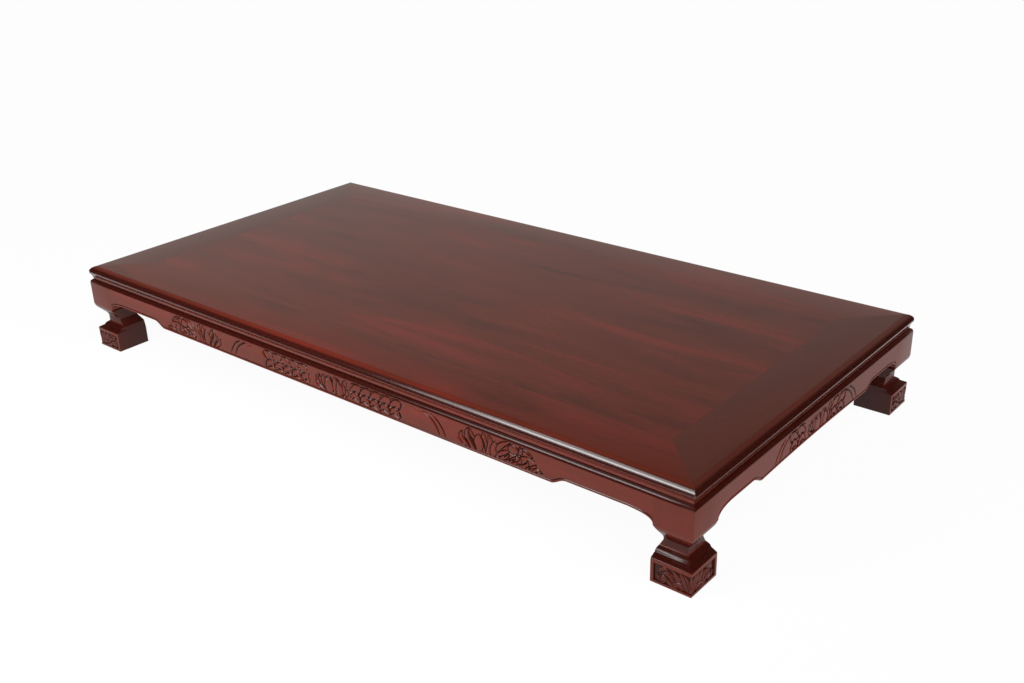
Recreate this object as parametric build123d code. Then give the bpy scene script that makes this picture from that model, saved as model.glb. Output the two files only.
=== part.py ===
"""Low kang table of lacquered hardwood.

A mitred frame holds a flush floating panel of edge-jointed boards on dovetailed battens.
Under it runs a narrow waist, then four aprons with an ogee lower edge, tenoned into four
corner legs. Each leg is one post: it flares in to a neck above a cushioned block foot with
sunk panels on its two outer faces.

Frame: millimetres, +X along the length, -Y towards the front long side, +Z up, origin on
the floor under the middle of the top.
"""
import os
from math import asin, atan, atan2, cos, degrees, hypot, sin, sqrt

from build123d import *

# Overall size
table_length = 1750.0
table_width = 895.0

# Heights, from the floor up
clear_height = 118.5            # floor to the lower edge of an apron, at its middle
apron_height = 61.5             # at the middle of an apron
waist_height = 4.0              # the sunk strip between an apron and the top
top_thickness = 27.5

# Members
leg_side = 80.0                 # square post, and the foot block under it
apron_thickness = 28.0
frame_width = 120.0             # the four mitred members of the top
board_count = 5
board_thickness = 16.0
batten_count = 4
batten_width = 40.0
batten_depth = 22.0             # below the panel

# Apron outline
apron_rise = 16.5               # its ends are cut this much higher than its middle
ogee_run = 27.0
long_ogee_distance = 288.0      # from the table's corner to the foot of the ogee, long side
short_ogee_distance = 227.0     # the same on a short side
arch_radius = 20.0              # where the end of an apron turns down into the leg
bead_width = 5.0                # flat left along the lower edge, below the incised line
bead_line_width = 1.5
bead_line_depth = 1.0

# Leg profile, seen on either outer face
foot_height = 47.0
neck_recess_outer = 21.5
neck_recess_inner = 12.0
cushion_height = 22.0           # from the block up to the neck
cove_radius = 12.0              # concave arc between the cushion and the neck
cove_turn = 73.0                # degrees
neck_length = 9.0
flare_round = 6.0               # convex arc at the top of the flare
flare_cove = 22.0               # concave arc at its foot
inner_neck_round = 6.0
heel_bulge = 1.2                # bow of the inner face between the neck and the block
foot_panel_depth = 3.5
foot_panel_border = 6.0
foot_panel_floor = 5.0

# Moulded edge of the top
waist_inset = 9.0               # from the widest line of the top
waist_ledge = 1.0               # flat left between the waist and the round of an apron
nose_height = 12.5              # widest line, above the underside of the top
nose_round = 1.0
edge_round_run = 23.0           # width of the rounded shoulder
under_bevel_hollow = 0.7

# Joinery
joint_fit = 0.1                 # on each cheek
tenon_end_gap = 1.0
apron_tenon_thickness = 10.0
apron_tenon_setback = 9.0       # from the outer face
apron_tenon_length = 30.0
apron_tenon_shoulder = 10.0     # above and below
waist_thickness = 14.0
waist_tongue_width = 8.0
waist_tongue_depth = 5.0
leg_tenon_height = 10.0
leg_tenon_width = 24.0
leg_tenon_thickness = 16.0
leg_tenon_from_end = 48.0       # along the member it enters
leg_tenon_from_face = 24.0      # in from the outer face of that member
mitre_tenon_thickness = 8.0
mitre_tenon_floor = 3.0         # wood left between it and a leg tenon
mitre_tenon_start = 30.0        # from the outer face of its own member
mitre_tenon_width = 62.0
mitre_tenon_cover = 18.0        # wood left outside its end
panel_tongue_length = 8.0
panel_tongue_thickness = 7.0
panel_gap = 0.2                 # seasonal gap round the panel
board_tongue_length = 6.0
board_tongue_thickness = 5.0
board_tongue_floor = 1.5        # wood left between it and a batten
batten_ridge_height = 5.0
batten_ridge_width = 22.0       # at the underside of the panel
batten_ridge_flare = 3.0        # wider on each side at its top
batten_tenon_width = 24.0
batten_tenon_thickness = 7.0
batten_tenon_length = 20.0
batten_tenon_drop = 2.5         # below the underside of the panel

# Levels and lengths that follow
apron_top = clear_height + apron_height
top_underside = apron_top + waist_height
table_height = top_underside + top_thickness
end_edge_height = clear_height + apron_rise
flare_top = end_edge_height - arch_radius
neck_bottom = foot_height + cushion_height
neck_top = neck_bottom + neck_length
apron_top_round = waist_inset - waist_ledge
nose_level = top_underside + nose_height
panel_underside = table_height - board_thickness
panel_half_length = table_length / 2 - frame_width
panel_half_width = table_width / 2 - frame_width
waist_tongue_inset = waist_inset + (waist_thickness - waist_tongue_width) / 2


def block(x_range, y_range, z_range):
    """A rectangular block between two limits on each axis."""
    ranges = (x_range, y_range, z_range)
    size = [high - low for low, high in ranges]
    middle = [(low + high) / 2 for low, high in ranges]
    return Pos(*middle) * Box(*size)


def both_ends(shape):
    """A feature of the right-hand end, repeated at the left-hand end."""
    return shape + mirror(shape, about=Plane.YZ)


def sides(long_piece, short_piece):
    """Place a piece made as the front one round the four sides of the table."""
    half_length = table_length / 2
    half_width = table_width / 2
    return {
        "front": Pos(0, -half_width, 0) * long_piece,
        "back": Pos(0, half_width, 0) * Rot(0, 0, 180) * long_piece,
        "left": Pos(-half_length, 0, 0) * Rot(0, 0, -90) * short_piece,
        "right": Pos(half_length, 0, 0) * Rot(0, 0, 90) * short_piece,
    }


# ---- legs -------------------------------------------------------------------------------

def flare_slope():
    """Angle from upright of the straight line between the two arcs of the flare."""
    both_arcs = flare_round + flare_cove
    centres_across = both_arcs - neck_recess_outer
    centres_up = flare_top - neck_top
    centres_apart = hypot(centres_across, centres_up)
    return asin(both_arcs / centres_apart) - atan2(centres_across, centres_up)


def leg_profile():
    """Side view of a leg, x inwards from the outer face, y up."""
    slope = degrees(flare_slope())
    block_side = Line((0, 0), (0, foot_height))
    cove = JernArc((neck_recess_outer, neck_bottom), (0, -1), cove_radius, -cove_turn)
    cushion = TangentArc(cove @ 1, (0, foot_height), tangent=cove % 1)
    neck = Line((neck_recess_outer, neck_bottom), (neck_recess_outer, neck_top))
    flare_foot = JernArc((neck_recess_outer, neck_top), (0, 1), flare_cove, slope)
    flare_head = JernArc((0, flare_top), (0, -1), flare_round, slope)
    flare = Line(flare_foot @ 1, flare_head @ 1)

    shoulder_start = (0, apron_top - apron_top_round)
    post_side = Line((0, flare_top), shoulder_start)
    shoulder = RadiusArc(shoulder_start, (apron_top_round, apron_top), apron_top_round)
    post_top = Polyline(
        (apron_top_round, apron_top),
        (waist_inset, apron_top),
        (waist_inset, top_underside),
        (leg_side, top_underside),
        (leg_side, flare_top),
    )
    inner_neck = (leg_side - neck_recess_inner, neck_top)
    inner_flare = TangentArc((leg_side, flare_top), inner_neck, tangent=(0, -1))
    heel = SagittaArc(inner_neck, (leg_side, foot_height), heel_bulge)
    base = Polyline((leg_side, foot_height), (leg_side, 0), (0, 0))
    outer_line = [block_side, cushion, cove, neck, flare_foot, flare, flare_head, post_side]
    profile = make_face(outer_line + [shoulder, post_top, inner_flare, heel, base])
    neck_corner = profile.vertices().sort_by_distance((*inner_neck, 0))[0]
    return fillet(neck_corner, radius=inner_neck_round)


def leg_tenon(height, clearance=0.0):
    """Tenon on a leg that enters the member along +X, or the mortise for it."""
    far_end = leg_tenon_from_end + leg_tenon_width
    far_face = leg_tenon_from_face + leg_tenon_thickness
    return block(
        (leg_tenon_from_end - clearance, far_end + clearance),
        (leg_tenon_from_face - clearance, far_face + clearance),
        (top_underside, top_underside + height),
    )


def apron_tenon(start, end, clearance=0.0):
    """End tenon of an apron between two places along X, or the mortise for it."""
    back = apron_tenon_setback + apron_tenon_thickness
    low = flare_top + apron_tenon_shoulder
    high = apron_top - apron_tenon_shoulder
    return block(
        (start, end),
        (apron_tenon_setback - clearance, back + clearance),
        (low - clearance, high + clearance),
    )


def make_leg():
    """Leg of the front left corner."""
    profile = leg_profile()
    leg = extrude(Plane.XZ * profile, amount=-leg_side)
    leg &= extrude(Plane.YZ * profile, amount=leg_side)

    mortise_end = leg_side - apron_tenon_length - tenon_end_gap
    mortise = apron_tenon(mortise_end, leg_side, joint_fit)
    foot_panel = block(
        (foot_panel_border, leg_side - foot_panel_border),
        (0, foot_panel_depth),
        (foot_panel_floor, foot_height - foot_panel_border),
    )
    cuts = mortise + foot_panel
    tenon = leg_tenon(leg_tenon_height)
    diagonal = Plane(origin=(0, 0, 0), x_dir=(0, 0, 1), z_dir=(1, -1, 0))
    leg = leg - cuts - mirror(cuts, about=diagonal)
    leg = leg + tenon + mirror(tenon, about=diagonal)
    return Pos(-table_length / 2, -table_width / 2, 0) * leg


# ---- aprons and waist -------------------------------------------------------------------

def apron_lower_edge(half_length, ogee_distance, inset=0.0):
    """Right-hand half of an apron's lower edge, moved up into the wood by an inset."""
    ogee_start = half_length - ogee_distance
    turn = 2 * atan(apron_rise / ogee_run)
    middle = (
        ogee_start + ogee_run / 2 - inset * sin(turn),
        clear_height + apron_rise / 2 + inset * cos(turn),
    )
    level = Line((0, clear_height + inset), (ogee_start, clear_height + inset))
    ogee_foot = TangentArc(level @ 1, middle, tangent=(1, 0))
    ogee_end = (ogee_start + ogee_run, end_edge_height + inset)
    ogee_head = TangentArc(ogee_foot @ 1, ogee_end, tangent=ogee_foot % 1)
    arch_start = (half_length - leg_side - arch_radius, end_edge_height + inset)
    raised = Line(ogee_head @ 1, arch_start)
    arch_drop = sqrt((arch_radius + inset) ** 2 - arch_radius ** 2)
    arch_end = (half_length - leg_side, flare_top + arch_drop)
    arch = TangentArc(arch_start, arch_end, tangent=(1, 0))
    return [level, ogee_foot, ogee_head, raised, arch]


def make_apron(length, ogee_distance):
    """Apron of the front side, its outer face on the XZ plane."""
    half_length = length / 2
    end = half_length - leg_side
    lower_edge = apron_lower_edge(half_length, ogee_distance)
    rest = Polyline(lower_edge[-1] @ 1, (end, apron_top), (0, apron_top), (0, clear_height))
    half = extrude(Plane.XZ * make_face(lower_edge + [rest]), amount=-apron_thickness)
    top_arris = half.edges().filter_by(Axis.X).group_by(Axis.Z)[-1].sort_by(Axis.Y)[0]
    half = fillet(top_arris, radius=apron_top_round)

    line_low = apron_lower_edge(half_length, ogee_distance, bead_width)
    line_high = apron_lower_edge(half_length, ogee_distance, bead_width + bead_line_width)
    caps = [
        Line(line_low[0] @ 0, line_high[0] @ 0),
        Line(line_low[-1] @ 1, line_high[-1] @ 1),
    ]
    bead_line = make_face(line_low + line_high + caps)
    half -= extrude(Plane.XZ * bead_line, amount=-bead_line_depth)

    half -= block(
        (0, end),
        (
            waist_tongue_inset - joint_fit,
            waist_tongue_inset + waist_tongue_width + joint_fit,
        ),
        (apron_top - waist_tongue_depth - joint_fit, apron_top),
    )
    half += apron_tenon(end, end + apron_tenon_length)
    return both_ends(half)


def make_waist_strip(length):
    """Waist strip of the front side, tongued into the top of its apron."""
    end = length / 2 - leg_side
    strip = block(
        (-end, end), (waist_inset, waist_inset + waist_thickness), (apron_top, top_underside)
    )
    tongue = block(
        (-end, end),
        (waist_tongue_inset, waist_tongue_inset + waist_tongue_width),
        (apron_top - waist_tongue_depth, apron_top),
    )
    return strip + tongue


# ---- top --------------------------------------------------------------------------------

def frame_section():
    """Section of a frame member, x inwards from the widest line of the top, y up."""
    nose = (0, nose_level)
    under_bevel = SagittaArc((waist_inset, top_underside), nose, -under_bevel_hollow)
    shoulder = TangentArc((edge_round_run, table_height), nose, tangent=(-1, 0))
    groove_top = panel_underside + panel_tongue_thickness
    groove_back = frame_width - panel_tongue_length - tenon_end_gap
    rest = Polyline(
        (edge_round_run, table_height),
        (frame_width, table_height),
        (frame_width, groove_top),
        (groove_back, groove_top),
        (groove_back, panel_underside),
        (frame_width, panel_underside),
        (frame_width, top_underside),
        (waist_inset, top_underside),
    )
    section = make_face([under_bevel, shoulder, rest])
    nose_corner = section.vertices().sort_by_distance((*nose, 0))[0]
    return fillet(nose_corner, radius=nose_round)


def make_frame_member(length):
    """Mitred frame member of the front side, its widest line on the XZ plane."""
    half_length = length / 2
    inner = half_length - frame_width
    bar = extrude(Plane.YZ * frame_section(), amount=half_length, both=True)
    plan = make_face(
        Polyline(
            (-half_length, 0), (half_length, 0), (inner, frame_width), (-inner, frame_width),
            close=True,
        )
    )
    bar &= extrude(plan, amount=table_height)
    mortise = leg_tenon(leg_tenon_height + tenon_end_gap, joint_fit)
    return bar - both_ends(Pos(-half_length, 0, 0) * mortise)


def mitre_slab(along, inward, clearance=0.0):
    """Tenon across a mitre, between limits along a member and in from its outer face."""
    low = top_underside + leg_tenon_height + mitre_tenon_floor
    return block(along, inward, (low - clearance, low + mitre_tenon_thickness + clearance))


def batten_places():
    """Middle of each batten along the table."""
    pitch = 2 * panel_half_length / (batten_count + 1)
    return [(i + 1) * pitch - panel_half_length for i in range(batten_count)]


def batten_tenon(y_range, clearance=0.0):
    """End tenons of a batten between two places on Y, or a mortise for one."""
    half_width = batten_tenon_width / 2 + clearance
    high = panel_underside - batten_tenon_drop
    low = high - batten_tenon_thickness
    return block((-half_width, half_width), y_range, (low - clearance, high + clearance))


def make_long_member():
    """Long member: it carries the mitre tenons and takes the battens."""
    half_length = table_length / 2
    tenon_back = mitre_tenon_start + mitre_tenon_width
    tenon_end = half_length - mitre_tenon_cover - tenon_end_gap
    tenon = mitre_slab((half_length - tenon_back, tenon_end), (mitre_tenon_start, tenon_back))
    member = make_frame_member(table_length) + both_ends(tenon)
    mortise_end = frame_width - batten_tenon_length - tenon_end_gap
    mortise = batten_tenon((mortise_end, frame_width), joint_fit)
    for place in batten_places():
        member -= Pos(place, 0, 0) * mortise
    return member


def make_short_member():
    """Short member: mortised for the tenons of the long ones."""
    half_length = table_width / 2
    mortise_back = mitre_tenon_start + mitre_tenon_width + joint_fit
    mortise_front = mitre_tenon_start - joint_fit
    mortise = mitre_slab(
        (half_length - mortise_back, half_length - mortise_front),
        (mitre_tenon_cover, mortise_back),
        joint_fit,
    )
    return make_frame_member(table_width) - both_ends(mortise)


def batten_ridge(half_width, height, length):
    """Dovetail ridge of a batten, on the underside of the panel, along Y."""
    flare = batten_ridge_flare * height / batten_ridge_height
    section = make_face(
        Polyline(
            (-half_width, 0),
            (half_width, 0),
            (half_width + flare, height),
            (-half_width - flare, height),
            close=True,
        )
    )
    return Pos(0, 0, panel_underside) * extrude(Plane.XZ * section, amount=length / 2, both=True)


def make_batten():
    """Batten with its dovetail ridge and end tenons, in the middle of the table."""
    body = block(
        (-batten_width / 2, batten_width / 2),
        (-panel_half_width, panel_half_width),
        (panel_underside - batten_depth, panel_underside),
    )
    tenon_end = panel_half_width + batten_tenon_length
    ridge = batten_ridge(batten_ridge_width / 2, batten_ridge_height, 2 * panel_half_width)
    return body + batten_tenon((-tenon_end, tenon_end)) + ridge


def make_board(index):
    """One board of the panel, counted from the front."""
    width = 2 * panel_half_width / board_count
    low = -panel_half_width + index * width
    high = low + width
    first = index == 0
    last = index == board_count - 1
    field_low = low + panel_gap if first else low
    field_high = high - panel_gap if last else high
    half_field = panel_half_length - panel_gap
    board = block(
        (-half_field, half_field), (field_low, field_high), (panel_underside, table_height)
    )

    half_tongued = panel_half_length + panel_tongue_length
    tongue_low = low - panel_tongue_length if first else low
    tongue_high = high + panel_tongue_length if last else high
    board += block(
        (-half_tongued, half_tongued),
        (tongue_low, tongue_high),
        (panel_underside, panel_underside + panel_tongue_thickness - joint_fit),
    )
    joint_low = panel_underside + batten_ridge_height + board_tongue_floor
    joint_high = joint_low + board_tongue_thickness
    if not last:
        board += block(
            (-half_field, half_field), (high, high + board_tongue_length), (joint_low, joint_high)
        )
    if not first:
        board -= block(
            (-half_tongued, half_tongued),
            (low, low + board_tongue_length + tenon_end_gap),
            (joint_low - joint_fit, joint_high + joint_fit),
        )
    slot = batten_ridge(
        batten_ridge_width / 2 + joint_fit, batten_ridge_height + joint_fit, table_width
    )
    for place in batten_places():
        board -= Pos(place, 0, 0) * slot
    return board


# ---- assembly ---------------------------------------------------------------------------

def make_nodes():
    """Every piece of the table at its place, by name."""
    nodes = {}
    front_left = make_leg()
    front_right = mirror(front_left, about=Plane.YZ)
    nodes["leg_front_left"] = front_left
    nodes["leg_front_right"] = front_right
    nodes["leg_back_left"] = mirror(front_left, about=Plane.XZ)
    nodes["leg_back_right"] = mirror(front_right, about=Plane.XZ)
    aprons = sides(
        make_apron(table_length, long_ogee_distance),
        make_apron(table_width, short_ogee_distance),
    )
    waists = sides(make_waist_strip(table_length), make_waist_strip(table_width))
    members = sides(make_long_member(), make_short_member())
    for side in aprons:
        nodes[f"apron_{side}"] = aprons[side]
        nodes[f"waist_strip_{side}"] = waists[side]
        nodes[f"top_frame_{side}"] = members[side]
    for index in range(board_count):
        nodes[f"panel_board_{index + 1}"] = make_board(index)
    batten = make_batten()
    for index, place in enumerate(batten_places()):
        nodes[f"batten_{index + 1}"] = Pos(place, 0, 0) * batten
    return nodes


os.makedirs("parts", exist_ok=True)
for name, piece in make_nodes().items():
    export_step(piece, f"parts/{name}.step")
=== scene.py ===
"""Kang table of lacquered rosewood: the finished look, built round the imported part.

Laid out as an add-on. Everything is in metres in the part's own frame: +X along the length,
-Y towards the front long side, +Z up, origin on the floor under the middle of the top.
"""
import math
from functools import partial

import bmesh
import bpy
import numpy as np
from mathutils import Matrix, Vector


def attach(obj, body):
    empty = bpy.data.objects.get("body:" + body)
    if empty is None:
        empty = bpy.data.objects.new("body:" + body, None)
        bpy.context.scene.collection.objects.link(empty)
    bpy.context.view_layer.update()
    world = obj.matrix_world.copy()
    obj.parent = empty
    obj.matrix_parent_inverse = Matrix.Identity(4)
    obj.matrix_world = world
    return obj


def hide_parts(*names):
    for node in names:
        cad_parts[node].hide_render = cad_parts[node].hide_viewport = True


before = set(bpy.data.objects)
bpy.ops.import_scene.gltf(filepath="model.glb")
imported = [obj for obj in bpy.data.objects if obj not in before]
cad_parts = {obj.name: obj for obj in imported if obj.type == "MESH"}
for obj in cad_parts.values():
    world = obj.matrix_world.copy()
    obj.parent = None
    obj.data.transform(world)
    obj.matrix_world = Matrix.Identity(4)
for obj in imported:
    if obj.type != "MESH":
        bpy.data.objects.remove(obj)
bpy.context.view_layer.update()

bl_info = {
    "name": "Kang table",
    "version": (1, 0, 0),
    "blender": (4, 5, 0),
    "location": "3D View > Sidebar > Kang table",
    "description": "Carved, moulded and lacquered finish of a low kang table",
    "category": "Object",
}

MM = 0.001

# The joiner's sizes, in millimetres
HALF_LENGTH = 875.0
HALF_WIDTH = 447.5
LEG = 80.0
FOOT = 83.0
APRON_THICKNESS = 28.0
FRAME_WIDTH = 120.0
LOWER_EDGE = 118.3  # of an apron inside its two steps
RAISED_EDGE = 132.0  # of an apron near the legs
LONG_STEP = 295.0  # point of a step, from the corner of the table
SHORT_STEP = 231.0
# Curve of a step, by corners along and up from its point
STEP_LINE = ((0, 0), (12, 3), (20, RAISED_EDGE - LOWER_EDGE), (34, RAISED_EDGE - LOWER_EDGE))
SHORT_CROWN = 4.0  # rise of a short apron's lower edge to its middle
# Arch beside a leg: distance from the corner of the table, and drop below the raised edge
LONG_ARCH = ((130, 0), (104, 2), (81, 3), (80, 18))
SHORT_ARCH = ((122, 0), (104, 1.5), (84, 4), (80, 18))
APRON_TOP = 180.0
SHELF = 178.0  # top of the round on an apron and a leg
ROUND_HEIGHT = 9.0  # of that round
ROUND_DEPTH = 6.5
WAIST_INSET = 9.0
FRAME_UNDERSIDE = 184.0
PANEL_UNDERSIDE = 195.5
TONGUE = 7.0  # height of the panel's tongue
GROOVE_BACK = 111.0  # bottom of its groove, from the widest line of the top
TABLE_TOP = 211.5
NOSE_LEVEL = 195.3  # widest line of the top
SHOULDER_RADIUS = 18.0
SHOULDER_SLANT = 8.0  # degrees from upright, where the shoulder starts
LIP_LEVEL = 179.2  # lower edge of the moulding
LIP_INSET = 7.0
LIP_TURN = (6.2, 188.0)  # deepest bend of the hollow under the widest line
CORNER_RADIUS = 6.0  # of the top's rubbed corners, seen from above
FOOT_HEIGHT = 48.3
NECK_OUTER = 22.0  # inset of the neck on the outer faces
NECK_LOW = 65.0
NECK_HIGH = 78.0
CUSHION_FOOT = (11.5, 54.6)  # inset and height where the cushion rises from the slope
CUSHION_TURN = (14.2, 59.6)  # roundest place of the cushion
FLARE_TOP = 117.0  # where the flare ends in the upright face
FLARE_COVE = 16.0  # radius of its hollow, over the neck
FLARE_ROUND = 22.0  # radius of its round, over the hollow
INNER_NECK = 71.3  # inner face of the neck, from the outer face of the leg
HEEL = (81.5, 60.5)  # furthest place of the foot's inner side
THROAT = 103.5  # where the inner side starts to spread to the apron
ARCH_FOOT = 114.0  # where it meets the arch
PANEL_LOW = 5.0  # sunk panel of a foot, above its lower border
PANEL_HIGH = 41.0
PANEL_END = 76.5  # to its border at the inner end

# Columns of an apron from its middle: start, end and width, narrow where it is carved
LONG_COLUMNS = ((0, 208, 1.15), (208, 240, 4), (240, 330, 1.2), (330, 360, 4),
                (360, 564, 1.1), (564, HALF_LENGTH - LONG_STEP - 1.5, 4))
SHORT_COLUMNS = ((0, 176, 1.15), (176, HALF_WIDTH - SHORT_STEP - 1.5, 4))
# Where the curled leaves of the chains start, beside the lotus
LONG_CHAIN = (65, 93.3, 121.6, 149.9, 178.2)
SHORT_CHAIN = (56, 86)
SHORT_RINGS = -156  # shift of the quarter rings, from their place on a long apron
STEP_POINTS = 26  # along the step, the raised edge and the arch of an apron
RAISED_POINTS = 18
ARCH_POINTS = 22
CARVING_FADE = 1.6  # the carving runs out over this height under the round
BLOCK_EDGE = 0.4  # of the foot, at the floor
MITRE_TURNS = (9, 18, 27, 36, 45)  # degrees, of the cuts that round off a corner of the top
NECK_AND_INNER_SHADE = 0.85  # painted shade on the neck and inside, where the cushion has 1 of glaze
NECK_SHADE_TOP = 96.0  # where the painted shade on the neck runs out on the flare
FOOT_GRID = (247, 61)  # points of the foot carving, round the corner and up

# Turn in degrees, and place in half lengths and half widths, of a piece made for the front
PLACES = {
    "front": (0, 0, -1), "right": (90, 1, 0), "back": (180, 0, 1), "left": (270, -1, 0),
    "front_left": (0, -1, -1), "front_right": (90, 1, -1), "back_right": (180, 1, 1),
    "back_left": (270, -1, 1)}
CORNERS = ("front_left", "front_right", "back_right", "back_left")

# The room: a warm white wall on the far left, and dim all round
WALL_SIDE = (-0.643, 0.766, 0)
WALL_TOP = 0.60  # where the wall ends, as the upward part of a direction
WALL_LEVEL = 0.88
WALL_TONE = (1.0, 0.94, 0.89, 1)
ROOM_LEVEL = 0.03
FLOOR_WHITE = 0.95  # share of plain white in what is seen of the floor
LIT_PLACE = (0.6, -0.44, 0.2)  # on the front edge, where the softboxes are aimed


def linear(code):
    """Linear colour of an sRGB hex code."""
    values = [int(code[i:i + 2], 16) / 255 for i in (0, 2, 4)]
    return [v / 12.92 if v <= 0.04045 else ((v + 0.055) / 1.055) ** 2.4 for v in values]


# ---- settings ----

def length_setting(name, description, default, low, high):
    """Setting for a length, given in millimetres."""
    return bpy.props.FloatProperty(
        name=name, description=description, default=default * MM, min=low * MM,
        max=high * MM, unit="LENGTH")


def colour_setting(name, description, code):
    """Setting for a colour, given as an sRGB hex code."""
    return bpy.props.FloatVectorProperty(
        name=name, description=description, default=linear(code), min=0, max=1, size=3,
        subtype="COLOR")


class KangTableSizes(bpy.types.PropertyGroup):
    """Sizes of the finish that a maker may change."""

    arris: length_setting(
        "Arris", "Radius of the rubbed-down corners of the legs", 0.9, 0.0, 3.0)
    cut_depth: length_setting(
        "Cut depth", "Depth of the cuts round the petals on the aprons", 3.0, 0.5, 4.0)
    foot_depth: length_setting(
        "Foot panel depth", "Depth of the sunk ground in the foot panels", 3.5, 1.0, 6.0)
    grain_width: length_setting(
        "Grain width", "Width of the streaks of the rosewood", 9.0, 2.0, 50.0)


class KangTableColours(bpy.types.PropertyGroup):
    """Colours of the finish that a maker may change."""

    heartwood: colour_setting("Heartwood", "Red-brown body of the stained rosewood", "5A2419")
    red_streak: colour_setting("Red streak", "Redder figure of the heartwood", "73261D")
    dark_streak: colour_setting("Dark streak", "Dark figure and pores", "3A1A15")
    brown_wood: colour_setting(
        "Brown wood", "Plainer brown wood of the short members", "50251D")
    # this dark red is also laid on as painted shade on the necks, the inner faces of the legs and
    # the foot panels
    glaze: colour_setting("Glaze", "Dark red glaze rubbed on the mouldings", "2C0B07")
    sealed_wood: colour_setting("Underside wood", "Thinly sealed wood under the top", "6A4028")


# ---- materials ----

def add(tree, kind, inputs=None, **settings):
    """Add a shader node with its settings, and a value or a link for each socket named."""
    made = tree.nodes.new("ShaderNode" + kind)
    for name, value in settings.items():
        setattr(made, name, value)
    for name, value in (inputs or {}).items():
        if isinstance(name, int):
            socket = made.inputs[name]
        else:
            socket = next(s for s in made.inputs if s.name == name and s.enabled)
        if isinstance(value, bpy.types.NodeSocket):
            tree.links.new(value, socket)
        else:
            socket.default_value = value
    return next((s for s in made.outputs if s.enabled), None)


def new_material(name):
    """An empty material and its node tree."""
    made = bpy.data.materials.new(name)
    made.use_nodes = True
    made.node_tree.nodes.clear()
    return made, made.node_tree


def noise(tree, place, scale, detail, roughness, distortion=0.0):
    """Noise laid over places, with one scale or with one for each axis."""
    if isinstance(scale, tuple):
        place = add(tree, "Mapping", {"Vector": place, "Scale": scale})
        scale = 1.0
    return add(tree, "TexNoise", {
        "Vector": place, "Scale": scale, "Detail": detail, "Roughness": roughness,
        "Distortion": distortion})


def ramp(tree, value, start, end, top=1.0, bottom=0.0, smooth=False):
    """Bottom where a value is at the start, top where it is at the end."""
    return add(tree, "MapRange", {
        "Value": value, "From Min": start, "From Max": end, "To Min": bottom, "To Max": top},
        interpolation_type="SMOOTHSTEP" if smooth else "LINEAR")


def rosewood(name, grain, tones, figure, lacquer, turn, offset):
    """Rosewood, planed, stained dark red and sprayed with clear gloss lacquer.

    The stain evens the wood out, so the figure shows as soft long streaks of red and dark
    brown. The lacquer fills the pores and lies over them as a smooth, faintly waved mirror.
    The wood is soaked with it, and has no shine of its own underneath.
    """
    made, tree = new_material(name)
    body, red, dark, glaze = tones
    place = add(tree, "TexCoord").node.outputs["Object"]
    laid = add(tree, "Mapping", {
        "Vector": place, "Location": offset, "Rotation": turn})

    # broad figure, 60 to 90 mm across and about 400 mm long
    broad = noise(tree, laid, (2.4, 13.0, 13.0), 4.0, 0.55, 0.6)
    # streaks, as wide as the grain and some 30 times as long
    across = 0.5 / grain
    fine = noise(tree, laid, (across / 30, across, across), 5.0, 0.6, 0.2)
    # pores 0.3 mm wide and 5 mm long, drawn 1 mm wide so that they show
    pores = noise(tree, laid, (60.0, 900.0, 900.0), 2.0, 0.5)

    reddened = ramp(tree, broad, 0.48, 0.70, 0.65 * figure, smooth=True)
    browned = ramp(tree, broad, 0.48, 0.28, 0.6 * figure, smooth=True)
    streaked = ramp(tree, fine, 0.45, 0.75, 0.3 * figure)
    speckled = ramp(tree, pores, 0.58, 0.75, 0.35)
    # painted shade in the cuts of the carving, darker where they are deeper
    cut = add(tree, "Attribute", attribute_name="cut").node.outputs["Fac"]
    cut = ramp(tree, cut, 0.15, 0.7, 0.96, smooth=True)
    # the mouldings are glazed darker and rubbed unevenly; the same mark also darkens the necks,
    # the inner faces of the legs and the foot panels as painted shade
    shaded = add(tree, "Attribute", attribute_name="glaze").node.outputs["Fac"]
    rubbed = noise(tree, place, 160.0, 3.0, 0.6)
    rubbed = ramp(tree, rubbed, 0.35, 0.65, 0.88, bottom=1.0)
    shaded = add(tree, "Math", {0: shaded, 1: rubbed}, operation="MULTIPLY")

    colour = (*body, 1)
    # deep is the near-black colour of that painted shade
    deep = [0.12 * value for value in dark]
    for amount, tone in ((reddened, red), (browned, dark), (streaked, dark),
                         (speckled, dark), (shaded, glaze), (cut, deep)):
        colour = add(tree, "Mix", {
            "Factor": amount, "A": colour, "B": (*tone, 1)}, data_type="RGBA")

    # the grain shows through the lacquer by a few hundredths of a millimetre
    grain_bump = add(tree, "Bump", {
        "Height": fine, "Strength": 0.12, "Distance": 0.0003})
    waves = noise(tree, place, 45.0, 2.0, 0.5)
    waves = add(tree, "Bump", {
        "Height": waves, "Strength": 0.10, "Distance": 0.0006, "Normal": grain_bump})
    shader = add(tree, "BsdfPrincipled", {
        "Base Color": colour, "Roughness": 0.5, "IOR": 1.5, "Specular IOR Level": 0.0,
        "Coat Weight": lacquer, "Coat Roughness": 0.16, "Coat IOR": 1.5,
        "Normal": grain_bump, "Coat Normal": waves})
    add(tree, "OutputMaterial", {"Surface": shader})
    return made


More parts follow.
